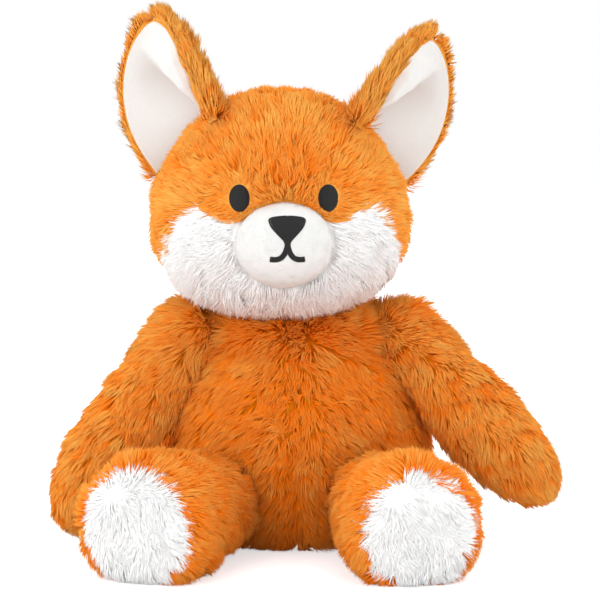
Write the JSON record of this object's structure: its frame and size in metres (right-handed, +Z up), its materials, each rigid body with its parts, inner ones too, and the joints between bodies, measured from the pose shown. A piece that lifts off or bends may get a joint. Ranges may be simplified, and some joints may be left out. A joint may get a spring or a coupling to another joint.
{
  "type": "plush fox",
  "caption": "Seated plush fox in orange and white fur, with an upright pair of cupped ears, a short muzzle, splayed feet and a tail behind.",
  "frame": {"origin": "middle of the flat seat on which the torso rests", "axes": "+Z up, -Y the way the fox looks, +X towards the fox's own left"},
  "size_m": [0.2691, 0.2984, 0.289],
  "materials": {
    "orange_fur": "orange pile about 10 mm long on a knitted backing, combed down and outwards",
    "deep_orange_fur": "the same orange pile where it is turned from the light, at the back and underneath",
    "white_fur": "white pile about 8 mm long",
    "short_white_plush": "smooth short-pile white plush",
    "black_thread": "black satin-stitch embroidery",
    "fibre_stuffing": "loose white fibre, packed to shape",
    "pellet_bag": "plain woven bag holding pellets"
  },
  "bodies": {
    "torso": {"torso_front_left": "orange_fur", "torso_front_right": "orange_fur", "torso_back_left": "deep_orange_fur", "torso_back_right": "deep_orange_fur", "seat_panel": "deep_orange_fur", "torso_stuffing": "fibre_stuffing", "pellet_pouch": "pellet_bag", "neck_stuffing": "fibre_stuffing"},
    "head": {"forehead_left": "orange_fur", "forehead_right": "orange_fur", "cheek_left": "white_fur", "cheek_right": "white_fur", "head_back": "deep_orange_fur", "head_stuffing": "fibre_stuffing", "muzzle_cover": "short_white_plush", "muzzle_stuffing": "fibre_stuffing", "nose_and_mouth": "black_thread", "eye_left": "black_thread", "eye_right": "black_thread"},
    "ear_left": {"ear_back_left": "orange_fur", "ear_lining_left": "short_white_plush"},
    "ear_right": {"ear_back_right": "orange_fur", "ear_lining_right": "short_white_plush"},
    "arm_left": {"arm_front_left": "orange_fur", "arm_back_left": "deep_orange_fur", "arm_stuffing_left": "fibre_stuffing"},
    "arm_right": {"arm_front_right": "orange_fur", "arm_back_right": "deep_orange_fur", "arm_stuffing_right": "fibre_stuffing"},
    "leg_left": {"leg_top_left": "orange_fur", "leg_bottom_left": "deep_orange_fur", "sole_left": "white_fur", "leg_stuffing_left": "fibre_stuffing"},
    "leg_right": {"leg_top_right": "orange_fur", "leg_bottom_right": "deep_orange_fur", "sole_right": "white_fur", "leg_stuffing_right": "fibre_stuffing"},
    "tail": {"tail_left": "orange_fur", "tail_right": "orange_fur", "tail_tip": "white_fur", "tail_stuffing": "fibre_stuffing"}
  },
  "joints": [
    {"name": "head_turn", "type": "hinge", "parent": "torso", "child": "head", "pos_m": [0, 0, 0.122], "axis": [0, 0, 1], "range_deg": [-30, 30], "stiffness_Nm_per_rad": 0.25},
    {"name": "ear_bend_left", "type": "hinge", "parent": "head", "child": "ear_left", "pos_m": [0.03741, -0.00786, 0.2185], "axis": [0.5067, 0.7431, -0.4372], "range_deg": [-12, 12], "stiffness_Nm_per_rad": 0.05},
    {"name": "ear_bend_right", "type": "hinge", "parent": "head", "child": "ear_right", "pos_m": [-0.0535, -0.01199, 0.2225], "axis": [0.6509, -0.6905, 0.3154], "range_deg": [-12, 12], "stiffness_Nm_per_rad": 0.05},
    {"name": "arm_lift_left", "type": "hinge", "parent": "torso", "child": "arm_left", "pos_m": [0.057, -0.009, 0.112], "axis": [0, -1, 0], "range_deg": [-12, 45], "stiffness_Nm_per_rad": 0.2},
    {"name": "arm_lift_right", "type": "hinge", "parent": "torso", "child": "arm_right", "pos_m": [-0.057, -0.009, 0.112], "axis": [0, 1, 0], "range_deg": [-3, 55], "stiffness_Nm_per_rad": 0.2},
    {"name": "leg_lift_left", "type": "hinge", "parent": "torso", "child": "leg_left", "pos_m": [0.04, -0.04453, 0.029], "axis": [-0.9781, -0.2079, -0.0018], "range_deg": [0, 30], "stiffness_Nm_per_rad": 0.3},
    {"name": "leg_lift_right", "type": "hinge", "parent": "torso", "child": "leg_right", "pos_m": [-0.04, -0.04452, 0.029], "axis": [-0.9136, 0.4067, 0.0039], "range_deg": [0, 30], "stiffness_Nm_per_rad": 0.3},
    {"name": "tail_wag", "type": "hinge", "parent": "torso", "child": "tail", "pos_m": [0, 0.0569, 0.025], "axis": [0, 0, 1], "range_deg": [-25, 25], "stiffness_Nm_per_rad": 0.2}
  ]
}
